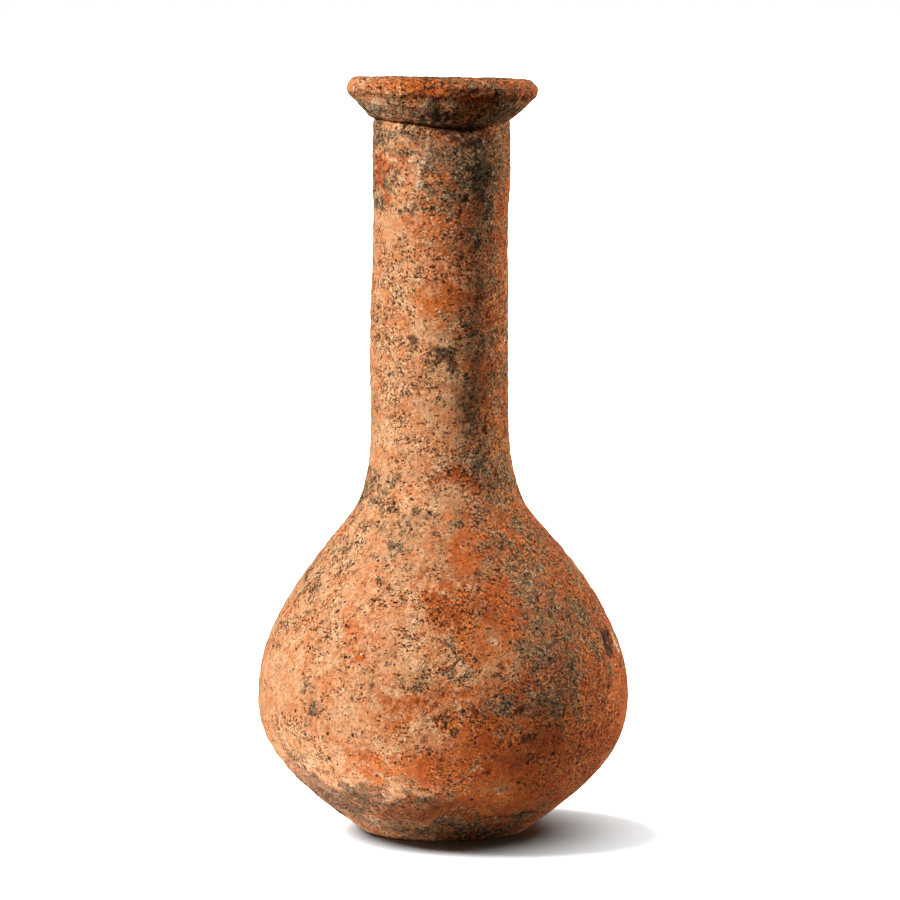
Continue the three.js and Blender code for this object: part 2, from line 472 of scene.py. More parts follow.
# Marks that show in the photograph: (turn in degrees, height, half width, half height, strength)
CRUST_AND_RIM_SHADE_MARKS = (
    # (180, 130, ...) is painted shade, which darkens the far rim across its top
    (8, 116, 10, 6, 0.6), (30, 118, 8, 5, 0.5), (25, 104, 6, 5, 0.5), (180, 130, 30, 1.5, 0.5),
    (10, 82, 9, 7, 0.35), (-15, 76, 12, 9, 0.2), (5, 62, 14, 3, 0.4), (20, 50, 14, 6, 0.2),
    (48, 40, 12, 9, 0.25), (5, 33, 13, 6, 0.12), (24, 27, 8, 5, 0.3), (66, 44, 7, 10, 0.2),
    (-30, 9, 18, 5, 0.35), (5, 3, 16, 3, 0.45), (-60, 45, 6, 4, 0.3), (-60, 124.8, 6, 1.0, 0.3),
    (30, 125, 12, 1.4, 0.35), (68, 124.5, 6, 2, 0.3), (-20, 121, 5, 2, 0.4), (2, 119, 6, 2.5, 0.45),
    (22, 117, 7, 3.5, 0.4), (-11, 115, 3.5, 3, 0.6), (-14, 111.5, 4, 2, 0.5), (36, 113, 6, 4, 0.5),
    (-33, 117.6, 2.5, 0.9, 0.7), (0, 110.5, 3, 1.2, 0.5), (-70, 108.3, 4, 1, 0.6),
    (-14, 107.4, 6, 0.6, 0.7), (12, 106.4, 4, 0.9, 0.6), (45, 107, 3, 2.5, 0.5), (14, 103, 3, 3, 0.5),
    (0, 100.8, 3.5, 1, 0.5), (1, 82.3, 3.5, 3, 0.7), (14, 84.5, 3, 3, 0.5), (-28, 74.6, 5, 1, 0.5),
    (-8, 74.4, 4, 1.2, 0.5), (10, 78.8, 4, 1.5, 0.4), (24, 73.5, 3, 3.5, 0.5), (28, 88, 2.5, 7, 0.45),
    (27, 65, 3, 5, 0.4), (-72, 61, 6, 4, 0.4), (-45, 58, 6, 2, 0.4), (0, 56, 10, 2, 0.4),
    (-63, 43, 4, 2, 0.6), (-69, 36.5, 3, 2, 0.3), (-47, 28, 3, 2, 0.5), (-43, 24.5, 3, 2, 0.6),
    (-13, 36.3, 3, 2, 0.4), (-1, 31, 5, 3, 0.5), (2, 35.5, 6, 3, 0.4), (25, 31, 7, 5, 0.25),
    (50, 33, 9, 7, 0.25), (-50, 8, 12, 3, 0.25), (-15, 4, 12, 2, 0.5), (14, 10.5, 5, 0.6, 0.7),
    (-30, 13, 9, 3, 0.3),
)
SOOT_MARKS = (
    (-60, 108.9, 4, 0.35, 0.6), (-35, 108.6, 4, 0.35, 0.7), (-18, 107.6, 4, 0.4, 0.7),
    (-3, 107.2, 3, 0.35, 0.6), (22, 118, 7, 6, 0.35), (32, 108, 5, 5, 0.3), (10, 124.6, 14, 1.6, 0.4),
    (14, 128, 8, 1.2, 0.35), (2, 82.5, 3, 2.4, 1.0), (-25, 85.3, 1.6, 1, 0.8), (-38, 79.4, 1.5, 1, 0.6),
    (23, 73.5, 2, 2.5, 0.7), (-64, 43.4, 2, 1.2, 0.7), (-45, 24.3, 2, 1, 0.7), (23, 24.5, 1.6, 2, 0.9),
    (27, 20.3, 1.6, 1, 0.8), (9, 26.2, 1.4, 1, 0.7), (6, 25.2, 1, 1, 0.7), (2, 21.7, 1.4, 0.8, 0.6),
    (47, 107, 1.5, 2, 0.7), (24, 120.6, 5, 1.2, 0.8), (40, 115, 4, 4, 0.6), (18, 127.6, 1.6, 0.8, 0.9),
    (30, 84, 1.5, 4, 0.3), (34, 96, 3, 5, 0.3), (30, 103, 2, 2, 0.6), (36, 4.9, 7, 0.35, 0.9),
    (70.5, 34, 2.6, 2.5, 1.4), (-3, 126.3, 1, 0.5, 0.7), (22, 62, 2, 3, 0.4),
)
SKIN_MARKS = (
    (-60, 128, 14, 2.4, 0.9), (-20, 128.5, 9, 1.6, 0.6), (-25, 114.5, 4, 3.5, 0.9),
    (-40, 84, 9, 10, 0.7), (-14, 72, 10, 8, 0.8), (-20, 104, 8, 3, 0.4), (-14, 100, 6, 5, 0.5),
    (-8, 36, 8, 5, 0.7), (3, 33, 7, 5, 0.4), (-12, 49, 9, 6, 0.7), (-14, 58, 10, 7, 0.5),
    (-40, 27, 14, 10, 0.3),
)
STAIN_MARKS = (
    (5, 127.8, 9, 2.4, 0.48), (40, 127.8, 8, 2.4, 0.55), (22, 124.3, 15, 1.3, 0.5),
    (36, 116, 6, 8, 0.45), (8, 120, 8, 3, 0.5), (30, 96, 4, 12, 0.5), (26, 76, 5, 12, 0.7),
    (-58, 8, 16, 5, 1.0), (-30, 9, 8, 4, 0.9), (-8, 7, 14, 4, 0.9), (26, 17, 12, 4, 0.35),
)
BARE_CLAY_MARKS = (
    (9, 50, 6, 5, 0.45), (22, 42, 4, 3, 0.5), (-42, 128.2, 10, 1.8, 0.35), (-14, 25, 5, 3, 0.5),
    (-30, 33, 2, 2, 0.5), (5, 21, 6, 3, 0.5), (40, 17, 22, 6, 0.9), (8, 14, 16, 3.5, 0.9),
    (38, 11, 16, 5, 1.0), (60, 22, 14, 8, 0.6), (-1, 27, 8, 3, 0.5), (9, 40, 6, 4, 0.4),
    (28, 39.5, 5, 4, 0.4), (-18, 16.5, 8, 3, 0.5), (18, 6.8, 16, 3, 0.7), (27, 28, 4, 3, 0.3),
    (-42, 115.3, 2.5, 1.8, 0.8), (-22, 104.3, 12, 3.0, 0.35), (5, 62, 5, 3, 0.5),
    (-6, 91, 4, 3, 0.3), (0, 113, 3, 1.4, 0.5),
)
RED_SLIP_MARKS = (
    (-66, 114, 5, 3.2, 1.0), (-56, 110.6, 2.6, 2.6, 0.9), (-3, 115.6, 1.1, 1.3, 1.0),
    (10, 119.9, 1.3, 1.1, 0.9), (5, 111, 1, 0.9, 0.6), (50, 128.2, 7, 1, 0.7),
)
LIME_MARKS = (
    (-41, 116.4, 2.4, 0.7, 0.8), (-21, 116.8, 2.8, 1.2, 0.75), (-34, 111.3, 3.2, 1.7, 0.75),
    (-19, 111.7, 2.6, 1.6, 0.75), (-67, 109.8, 1.4, 1.8, 0.85), (79, 33.4, 1.0, 3.4, 1.6),
    (71, 30.6, 1.6, 0.5, 1.2), (-60, 124.8, 9, 1.4, 0.9), (-12, 36.5, 2.2, 1.6, 0.5),
    (33, 124.6, 3, 0.7, 0.5),
)
CHIP_MARKS = (
    (70.5, 34, 2.3, 2.3, 0.7), (84, 57.7, 1.2, 1.0, 0.35), (88, 44.6, 1.2, 1.0, 0.3),
    (-25, 85.3, 1.0, 0.7, 0.25), (23, 24.5, 1.0, 1.3, 0.3), (18, 127.6, 1.2, 0.7, 0.35),
    (-25, 35.4, 2.4, 0.35, 0.2), (36, 4.9, 6, 0.25, 0.25),
)

# How far the marks wander from where they are set, round the clay and up it, and over what size
MARK_WANDER_ROUND = 1.3
MARK_WANDER_UP = 1.0
MARK_WANDER_SIZE = 4.5

# Bands of height with wear of their own: begins, is full, fades and is gone, in millimetres
NECK_BAND = (54, 66, 96, 101)
COLLAR_BAND = (107, 111, 122, 123.5)
FLARE_BAND = (123, 124, 126, 127.5)
FRONT_BAND = (20, 28, 52, 60)
LEFT_BELLY_BAND = (12, 20, 38, 50)

# The way the worn left side faces, where the painted shade under the fold lies, and the middle
# and half width of two bells on the right. Turns are in degrees.
LEFT_TURN = -68
FOLD_SHADE_TURN = 5
FOLD_SHADE_DROP = 0.2
FOLD_SHADE_HALF_HEIGHT = 0.6
FRONT_RIGHT_BELL = (25, 50)
RIGHT_BELL = (50, 40)

# Each finish as shares of its parts, which surface_levels works out for each place. A finish
# covers the clay where their sum is over 0.5.
FINISH_SHARES = {
    "skin": {
        "everywhere": 0.42, "left_side": 0.28, "back": 0.1, "neck": 0.12, "foot": -0.12, "rim": -0.2,
        "skin_noise": 0.20, "skin_marks": 0.30, "bare_clay": -0.6,
    },
    "crust": {
        # The crust level also carries painted shade on the far rim, from one of its marks
        "everywhere": 0.355, "front_right": 0.06, "collar": 0.07, "foot": 0.03, "neck": -0.02,
        "flare": 0.10, "left_belly": -0.12, "crust_noise": 0.25, "crust_and_rim_shade_marks": 0.40,
        "bare_clay": -0.24, "skin_marks": -0.20,
    },
    # The soot level also carries painted shade: a dark band just under the fold, at the front
    "soot_and_shade": {"everywhere": 0.20, "soot_noise": 0.26, "soot_marks": 0.50, "collar": 0.07, "painted_fold_shade": 0.5},
    "stain": {"stain_noise": 0.12, "stain_marks": 0.9},
    "slip": {"slip_noise": 0.12, "slip_marks": 0.75},
    "lime": {"everywhere": 0.14, "lime_noise": 0.22, "lime_marks": 0.40},
    "pitted": {
        "everywhere": 0.40, "collar": 0.15, "neck": 0.08, "pit_noise": 0.34, "rim_but_its_left": 0.35,
        "not_left": 0.25, "right": 0.25, "bare_clay_high_up": -0.1, "lip": 0.2,
    },
}


def marked(marks, turn, height, radius):
    """The strongest of the marks at each place: a bell over the arc and the height from each."""
    level = np.zeros(len(turn))
    for mark_turn, mark_height, half_width, half_height, strength in marks:
        arc = radius * np.radians((turn - mark_turn + 180) % 360 - 180)
        over_both = np.exp(-((arc / half_width) ** 2) - ((height - mark_height) / half_height) ** 2)
        level = np.maximum(level, strength * over_both)
    return level


def centre_offset(height):
    """How far the middle of the clay at a height stands from the upright through the belly: smooth
    steps up the height, each times its own shift."""
    return (
        -NECK_LEAN * smooth_step(height, BELLY_HEIGHT, NECK_MIDDLE_HEIGHT)
        + NECK_RETURN * smooth_step(height, NECK_MIDDLE_HEIGHT, FOLD_HEIGHT)
        + RIM_SHIFT * smooth_step(height, FOLD_HEIGHT, LIP_UNDERSIDE_HEIGHT)
    )


def sinking(height, turn, right):
    """How far the clay has sunk: the rim leans to the right, by the distance to the right times the
    slope, and the fold sags at the front, by a bell over the turn."""
    above_the_fold = smooth_step(height, FOLD_HEIGHT, LIP_UNDERSIDE_HEIGHT)
    near_the_fold = band(
        height, FOLD_HEIGHT - FOLD_SAG_REACH, FOLD_HEIGHT, FLARE_HEIGHT, RIM_HEIGHT - LIP_TOP_ROUNDING
    )
    near_the_sag = facing(turn, FOLD_SAG_TURN, FOLD_SAG_SPREAD)
    return right * np.tan(RIM_TILT) * above_the_fold + FOLD_SAG * near_the_sag * near_the_fold


def surface_levels(spot, turn, height, radius):
    """How strongly each finish covers the clay at each place, with its edge at 0.5: the sum of
    sides, bands of height, noise and marks, each times the finish's own share of it."""
    wander = np.stack([noise(spot, MARK_WANDER_SIZE, seed, octaves=3) for seed in (11, 12)])
    wander_round = np.degrees(MARK_WANDER_ROUND * wander[0] / np.maximum(radius, 1))

    def near(marks):
        """The marks at each place, once they have wandered."""
        return marked(marks, turn + wander_round, height + MARK_WANDER_UP * wander[1], radius)

    left = turned_to(turn, LEFT_TURN)
    bare_clay = near(BARE_CLAY_MARKS)
    # Painted shade: a dark band just under the fold at the front, where the flare's overhang throws its
    # shadow
    fold_shade_band = bell(height - FOLD_HEIGHT + FOLD_SHADE_DROP, FOLD_SHADE_HALF_HEIGHT)
    parts = {
        "everywhere": 1,
        "left_side": np.maximum(left, -0.5),
        "left_belly": np.clip(left, 0, 1) * band(height, *LEFT_BELLY_BAND),
        "not_left": np.clip(0.35 - left, 0, 1),
        "back": np.clip(-turned_to(turn, 0), 0, 1),
        "front_right": facing(turn, *FRONT_RIGHT_BELL) * band(height, *FRONT_BAND),
        "right": facing(turn, *RIGHT_BELL),
        "foot": 1 - smooth_step(height, 5, 13),
        "neck": band(height, *NECK_BAND),
        "collar": band(height, *COLLAR_BAND),
        "painted_fold_shade": fold_shade_band * np.clip(turned_to(turn, FOLD_SHADE_TURN), 0, 1),
        "rim": smooth_step(height, 122, 124),
        "rim_but_its_left": smooth_step(height, 123, 124) * np.clip(1.1 - left, 0, 1),
        "flare": band(height, *FLARE_BAND),
        "lip": smooth_step(height, 126, 127),
        "bare_clay": bare_clay,
        "bare_clay_high_up": bare_clay * smooth_step(height, 98, 101),
        "skin_marks": near(SKIN_MARKS),
        "crust_and_rim_shade_marks": near(CRUST_AND_RIM_SHADE_MARKS),
        "soot_marks": near(SOOT_MARKS),
        "stain_marks": near(STAIN_MARKS),
        "slip_marks": near(RED_SLIP_MARKS),
        "lime_marks": near(LIME_MARKS),
        "skin_noise": noise(spot, 12, seed=21, octaves=5, falloff=0.68),
        "crust_noise": noise(spot, 5, seed=31, octaves=5, falloff=0.75),
        "soot_noise": noise(spot, 5, seed=41, octaves=5, falloff=0.75),
        "stain_noise": noise(spot, 5, seed=55, octaves=4, falloff=0.6),
        "slip_noise": noise(spot, 5, seed=51, octaves=4, falloff=0.6),
        "lime_noise": noise(spot, 3, seed=61, octaves=5, falloff=0.7),
        "pit_noise": noise(spot, 9, seed=71, octaves=3),
    }
    return {
        finish: sum(share * parts[name] for name, share in shares.items())
        for finish, shares in FINISH_SHARES.items()
    }


def relief(spot, turn, height, radius, levels, outside):
    """How far each place stands proud of the true turned form, in millimetres, and how deep in a
    pit it lies, from 0 to 1. Swells, grain and lumps are noise, the throwing ridges a sine up the
    height, skin and crust smooth steps of their levels; pits, chips, the undercut of the fold and
    the groove of the lip, as bells, are taken off."""
    swell = BROAD_SWELL * noise(spot, 26, seed=1) * (1 - SWELL_LOST_AT_LIP * smooth_step(height, 124, 127))
    swell = swell + SMALL_SWELL * noise(spot, 9, seed=2)
    ridge_phase = height / RIDGE_SPACING - turn / 360 + 0.5 * noise(spot, 16, seed=3)
    ridges = RIDGE_DEPTH * np.sin(2 * np.pi * ridge_phase) * (0.6 + 0.4 * noise(spot, 20, seed=4))
    grain = GRAIN_DEPTH * noise(spot, 1.7, seed=5, octaves=3, falloff=0.7)
    unevenness = CRUST_UNEVENNESS * noise(spot, 1.5, seed=6, octaves=2, falloff=0.7)
    cake = smooth_step(levels["crust"], 0.44, 0.6) * (CRUST_THICKNESS + unevenness)
    skin_edge = levels["skin"] + SKIN_EDGE_WANDER * noise(spot, 3, seed=7, octaves=3)
    flaked = SKIN_THICKNESS * smooth_step(skin_edge, 0.42, 0.58)
    lumpiness = COLLAR_LUMPS * smooth_step(height, 108, 111) + LIP_LUMPS * smooth_step(height, 124, 127)
    lumps = lumpiness * noise(spot, 2.0, seed=14, octaves=3, falloff=0.65)
    step_height = height + STEP_WANDER * noise(spot, 7, seed=10, octaves=2)
    step_up = STEP_DEPTH * smooth_step(step_height, 108.2, 108.8) * (height < FOLD_HEIGHT)

    wide = round_pits(spot, *WIDE_PITS, WIDE_PITS_WHERE_PITTED * levels["pitted"] + WIDE_PITS_AT_LEAST)
    small = round_pits(spot, *SMALL_PITS, SMALL_PITS_WHERE_PITTED * levels["pitted"])
    chip_turn = turn + 2.0 * noise(spot, 2, seed=8, octaves=2)
    chip_height = height + 0.4 * noise(spot, 2, seed=9, octaves=2)
    chipped = marked(CHIP_MARKS, chip_turn, chip_height, radius)
    chips = smooth_step(chipped, 0.08, 0.3) * np.maximum(chipped, 0.15)

    front = np.clip(turned_to(turn, 2), 0, 1)
    under_the_fold = bell(height - FOLD_HEIGHT, UNDERCUT_HALF_HEIGHT) * (height < FOLD_HEIGHT + 0.01)
    undercut = front**0.5 * UNDERCUT_DEPTH * under_the_fold
    groove = GROOVE_DEPTH * front * bell(height - GROOVE_HEIGHT, GROOVE_HALF_HEIGHT)
    fuller = (height > FOLD_HEIGHT + 0.1) * (
        FLARE_FULLNESS_ADDED
        - FLARE_FULLNESS_LOST_LOW * smooth_step(height, 123.6, 124.4)
        - FLARE_FULLNESS_LOST_HIGH * smooth_step(height, 126, 128)
    )
    worn_lip = LIP_WEAR * smooth_step(height, 127.6, 129.8)

    proud = swell + ridges + grain + cake + flaked + lumps + step_up
    pits = WIDE_PIT_DEPTH * wide + SMALL_PIT_DEPTH * small + chips
    sunk = pits + (undercut + groove - fuller) * outside + RELIEF_MIDDLE
    fading = np.where(outside, smooth_step(height, 0, SEAT_FADE_HEIGHT), INSIDE_RELIEF)
    calm = 1 - LIP_TOP_CALM * smooth_step(height, 129.4, 130)
    hollow = np.clip(np.maximum(wide, SMALL_PIT_DARKNESS * small) + chips, 0, 1)
    return (proud - sunk) * fading * calm - worn_lip, hollow * outside


# Painted shade inside the mouth, darker down into it: how far below the rim it begins and is full
MOUTH_SHADE_DEPTHS = (0.1, 3)


def flask():
    """The whole flask as one closed mesh. A point's place is that of its ring and its turn on the
    true turned form, moved outward by the relief, then leant and sunk as the thrower left it."""
    path, outward, columns = rings()
    ring_start = np.append(0, np.cumsum(columns))
    ring = np.repeat(np.arange(len(columns)), columns)
    share = (np.arange(len(ring)) - ring_start[ring]) / columns[ring]
    round_turn = 2 * np.pi * share
    turn = round_turn - FRONT_CROWDING * np.sin(round_turn)
    radius, height = path[ring].T
    across, up = outward[ring].T
    spot = np.stack([radius * np.sin(turn), -radius * np.cos(turn), height], 1)
    degrees = np.degrees(turn)
    lip_top_ring = len(path) - 1 - np.argmax(path[::-1, 1])
    outside = ring <= lip_top_ring

    levels = surface_levels(spot, degrees, height, radius)
    proud, hollow = relief(spot, degrees, height, radius, levels, outside)
    across = across * np.where(columns[ring] == 1, 0, 1)
    moved = spot + proud[:, None] * np.stack([across * np.sin(turn), -across * np.cos(turn), up], 1)
    moved[:, 0] += centre_offset(height)
    moved[:, 2] -= sinking(height, degrees, spot[:, 0])
    moved[:, 2] = np.maximum(moved[:, 2], 0)

    corners = np.vstack([
        between(ring_start[k], columns[k], ring_start[k + 1], columns[k + 1])
        for k in range(len(columns) - 1)
    ])
    mesh = bpy.data.meshes.new("flask")
    mesh.vertices.add(len(moved))
    mesh.vertices.foreach_set("co", (moved * MM).astype(np.float32).ravel())
    mesh.loops.add(corners.size)
    mesh.loops.foreach_set("vertex_index", corners.astype(np.int32).ravel())
    mesh.polygons.add(len(corners))
    mesh.polygons.foreach_set("loop_start", np.arange(0, corners.size, 3, dtype=np.int32))
    mesh.update(calc_edges=True)
    mesh.shade_smooth()
    fold_ring = np.argmin(np.hypot(*(path - FOLD_EDGE).T))
    ends = np.zeros(2 * len(mesh.edges), np.int32)
    mesh.edges.foreach_get("vertices", ends)
    along_fold = np.all(ring[ends.reshape(-1, 2)] == fold_ring, axis=1)
    mesh.attributes.new("sharp_edge", "BOOLEAN", "EDGE").data.foreach_set("value", along_fold)
    # Painted shade inside the mouth, darkening from just under the rim down into it; the mesh carries it
    # as the level named inner
    mouth_shade = np.where(outside, 0, smooth_step(RIM_HEIGHT - height, *MOUTH_SHADE_DEPTHS))
    for name, values in {**levels, "hollow": hollow, "inner": mouth_shade}.items():
        layer = mesh.attributes.new(name, "FLOAT", "POINT")
        layer.data.foreach_set("value", values.astype(np.float32))
    piece = bpy.data.objects.new("flask", mesh)
    bpy.context.scene.collection.objects.link(piece)
    return piece


def add_node(tree, kind, inputs=None, **settings):
    """A shader node with its settings; each input is a plain value or the socket that feeds it."""
    made = tree.nodes.new(kind)
    for name, value in settings.items():
        setattr(made, name, value)
    for key, value in (inputs or {}).items():
        if isinstance(value, bpy.types.NodeSocket):
            tree.links.new(value, made.inputs[key])
        else:
            made.inputs[key].default_value = value
    return made


# How far painted pits are pushed off their cells, as a share of the cell, how soft their edge is,
# as a share of the narrowest radius, and the detail of the grain that breaks up the finishes
PIT_WARP = 0.9
PIT_EDGE = 0.3
BREAK_DETAIL = 8.0


class ClayPattern:
    """Short ways to write the patterns of a material on Object coordinates, in millimetres."""

    def __init__(self, tree):
        self.tree = tree
        coordinates = add_node(tree, "ShaderNodeTexCoord")
        self.where = coordinates.outputs["Object"]

    def level(self, name):
        """A level that the mesh carries."""
        return add_node(self.tree, "ShaderNodeAttribute", attribute_name=name).outputs["Fac"]

    def vector(self, operation, inputs):
        """One step of arithmetic on vectors."""
        return add_node(self.tree, "ShaderNodeVectorMath", inputs, operation=operation).outputs[0]

    def math(self, operation, first, second=0.0, third=0.0):
        """One step of arithmetic on up to three values."""
        inputs = {0: first, 1: second, 2: third}
        return add_node(self.tree, "ShaderNodeMath", inputs, operation=operation).outputs[0]

    def grain(self, size, detail=4.0, roughness=0.6, flatness=1.0):
        """Noise of one size across, and that size over the flatness in height."""
        where = self.where
        if flatness != 1.0:
            where = self.vector("MULTIPLY", {0: where, 1: (1, 1, flatness)})
        inputs = {"Vector": where, "Scale": 1000 / size, "Detail": detail, "Roughness": roughness}
        return add_node(self.tree, "ShaderNodeTexNoise", inputs).outputs["Fac"]

    def edge(self, value, low, high):
        """0 below the first value and 1 above the second, with a smooth step between them."""
        inputs = {"Value": value, "From Min": low, "From Max": high}
        made = add_node(self.tree, "ShaderNodeMapRange", inputs, interpolation_type="SMOOTHSTEP")
        return made.outputs["Result"]

    def stretched(self, value, low, high, to_low=0.0, to_high=1.0):
        """The values between the first two spread evenly over those between the last two."""
        inputs = {"Value": value, "From Min": low, "From Max": high, "To Min": to_low, "To Max": to_high}
        return add_node(self.tree, "ShaderNodeMapRange", inputs).outputs["Result"]

    def swing(self, value, reach, middle=0.0):
        """A pattern round 0.5 made to swing about a middle, by half the reach each way."""
        return self.math("MULTIPLY_ADD", value, reach, middle - reach / 2)

    def broken(self, name, size, amount, softness, roughness, wider=0.0):
        """A level of the mesh with its edge at 0.5 broken up by grain: 0 outside it, 1 inside."""
        spread = self.swing(self.grain(size, BREAK_DETAIL, roughness), amount, wider)
        total = self.math("ADD", self.level(name), spread)
        return self.edge(total, 0.5 - softness, 0.5 + softness)

    def mix(self, factor, first, second):
        """The first colour where the factor is 0 and the second where it is 1."""
        inputs = {0: factor, 6: first, 7: second}
        return add_node(self.tree, "ShaderNodeMix", inputs, data_type="RGBA").outputs[2]

    def over(self, colour, where, cover, finish):
        """A colour under a finish, which hides it by its cover where the finish is in full."""
        return self.mix(self.math("MULTIPLY", where, cover), colour, finish)

    def dots(self, cell, widest, narrowest, density):
        """Scattered round pits, one to a cell at most: 1 in a pit and 0 outside."""
        inputs = {"Vector": self.where, "Scale": 1000 / cell, "Detail": 2.0}
        warp = add_node(self.tree, "ShaderNodeTexNoise", inputs).outputs["Color"]
        shift = self.vector("SUBTRACT", {0: warp, 1: (0.5, 0.5, 0.5)})
        warped = self.vector("MULTIPLY_ADD", {0: shift, 1: (PIT_WARP * cell * MM,) * 3, 2: self.where})
        inputs = {"Vector": warped, "Scale": 1000 / cell, "Randomness": 1.0}
        cells = add_node(self.tree, "ShaderNodeTexVoronoi", inputs)
        parts = add_node(self.tree, "ShaderNodeSeparateColor", {"Color": cells.outputs["Color"]})
        radius = self.stretched(parts.outputs["Green"], 0, 1, narrowest / cell, widest / cell)
        depth = self.math("SUBTRACT", radius, cells.outputs["Distance"])
        shown = self.math("LESS_THAN", parts.outputs["Red"], density)
        return self.math("MULTIPLY", self.edge(depth, 0, PIT_EDGE * narrowest / cell), shown)


def sRGB(red, green, blue):
    """A colour as it looks, 0 to 255, as the linear values that a shader takes."""
    part = np.array([red, green, blue]) / 255
    linear = np.where(part <= 0.04045, part / 12.92, ((part + 0.055) / 1.055) ** 2.4)
    return (*linear.tolist(), 1.0)


CLAY_DEEP = sRGB(182, 84, 31)
CLAY_BRIGHT = sRGB(224, 126, 62)
CLAY_RED = sRGB(196, 78, 26)
SKIN_BUFF = sRGB(234, 181, 136)
SKIN_PINK = sRGB(224, 144, 94)
VEIL_GREY = sRGB(188, 146, 106)
CRUST_PALE = sRGB(222, 182, 140)
CRUST_DARK = sRGB(126, 96, 68)
# The colour of soot, and of the painted shade under the fold
SOOT_AND_SHADE = sRGB(60, 42, 27)
STAIN_BROWN = sRGB(92, 48, 22)
SLIP_RED = sRGB(186, 92, 48)
LIME = sRGB(246, 216, 184)
PIT_BROWN = sRGB(34, 18, 10)

# Grain, as its size in millimetres, detail and roughness, and how much flatter than wide it is
CLOUD_GRAIN = (6, 8, 0.72)
RED_GRAIN = (2.6, 6, 0.7)
SKIN_TONE_GRAIN = (3.6, 8, 0.72)
CRUST_TONE_GRAIN = (1.0, 4, 0.8)
CRACK_GRAIN = (1.5, 4, 0.8)
PATCH_GRAIN = (3.0, 6, 0.75)
DRAGGED_GRAIN = (4.0, 5, 0.7, 4.0)
SPECK_GRAIN = (0.6, 4, 0.8, 1.4)
COARSE_GRAIN = (0.9, 3, 0.8)
FINE_GRAIN = (0.42, 3, 0.85)
BUMP_GRAIN = (0.8, 5, 0.85)

# The values of each grain that one colour turns into the other between, and where cracks, rough
# patches and specks begin and are full
CLOUD_STRETCH = (0.38, 0.62)
RED_STRETCH = (0.50, 0.66)
SKIN_TONE_STRETCH = (0.40, 0.60)
CRUST_TONE_STRETCH = (0.42, 0.57)
CRACK_EDGE = (0.007, 0.026)
ROUGH_EDGE = (0.4, 0.8)
SPECK_EDGE = (0.63, 0.66)

# How the edge of each finish breaks up: size of the grain in millimetres, how far it shifts the
# edge, softness of the edge, roughness of the grain, and how much wider than its level it lies
SKIN_BREAK = (2.6, 1.8, 0.16, 0.8)
SLIP_BREAK = (1.6, 1.6, 0.08, 0.7)
VEIL_BREAK = (2.2, 1.8, 0.12, 0.8, 0.08)
CRUST_BREAK = (1.6, 2.1, 0.04, 0.8, -0.04)
STAIN_BREAK = (2.0, 1.4, 0.25, 0.75)
SOOT_AND_SHADE_BREAK = (1.5, 1.3, 0.07, 0.8)
LIME_BREAK = (1.2, 2.6, 0.08, 0.8)

# How well each finish hides what lies under it
MOST_RED = 0.75
VEIL_COVER = 0.55
CRACK_COVER = 0.82
CRUST_COVER = 0.9
STAIN_COVER = 0.62
SOOT_AND_SHADE_COVER = 0.78
LIME_COVER = 0.9
PIT_COVER = 0.92
HOLLOW_COVER = 0.6
# How dark the painted shade inside the mouth gets
MOUTH_SHADE_COVER = 0.6

# Pits that are painted: the cell, the widest and the narrowest radius, in millimetres
LARGE_PAINTED_PITS = (1.4, 0.40, 0.18)
SMALL_PAINTED_PITS = (0.64, 0.20, 0.10)


def pit_pattern(pattern, veil):
    """Where the clay lies rough, in patches between smoother ones, and the pits and specks on it,
    which crowd in the rough patches."""
    grain, math = pattern.grain, pattern.math
    patches = pattern.swing(grain(*PATCH_GRAIN), 3.0)
    dragged = pattern.swing(grain(*DRAGGED_GRAIN), 2.2)
    pitted = math("ADD", pattern.level("pitted"), math("ADD", patches, dragged))
    pitted = math("ADD", pitted, math("MULTIPLY", veil, 0.2))
    rough_patch = pattern.edge(pitted, *ROUGH_EDGE)
    large_pits = pattern.dots(*LARGE_PAINTED_PITS, math("MULTIPLY", pitted, 0.5))
    small_pits = pattern.dots(*SMALL_PAINTED_PITS, math("MULTIPLY_ADD", rough_patch, 0.6, 0.3))
    speck_level = math("MULTIPLY_ADD", rough_patch, 0.09, grain(*SPECK_GRAIN))
    specks = pattern.edge(speck_level, *SPECK_EDGE)
    return rough_patch, math("MAXIMUM", math("MAXIMUM", large_pits, small_pits), specks)


def speckled(pattern, colour, rough_patch, crust):
    """The colour made lighter and darker by grain of two sizes, most in rough patches and crust."""
    grain, math = pattern.grain, pattern.math
    coarseness = math("MULTIPLY_ADD", rough_patch, 2.0, 1.2)
    coarseness = math("MULTIPLY_ADD", crust, 1.2, coarseness)
    coarse = pattern.swing(grain(*COARSE_GRAIN), 0.6)
    fine = math("SUBTRACT", grain(*FINE_GRAIN), 0.5)
    both = math("MULTIPLY_ADD", fine, 1.9, coarse)
    brightness = math("MAXIMUM", math("MULTIPLY_ADD", both, coarseness, 1.0), 0.2)
    return pattern.vector("SCALE", {0: colour, 3: brightness})


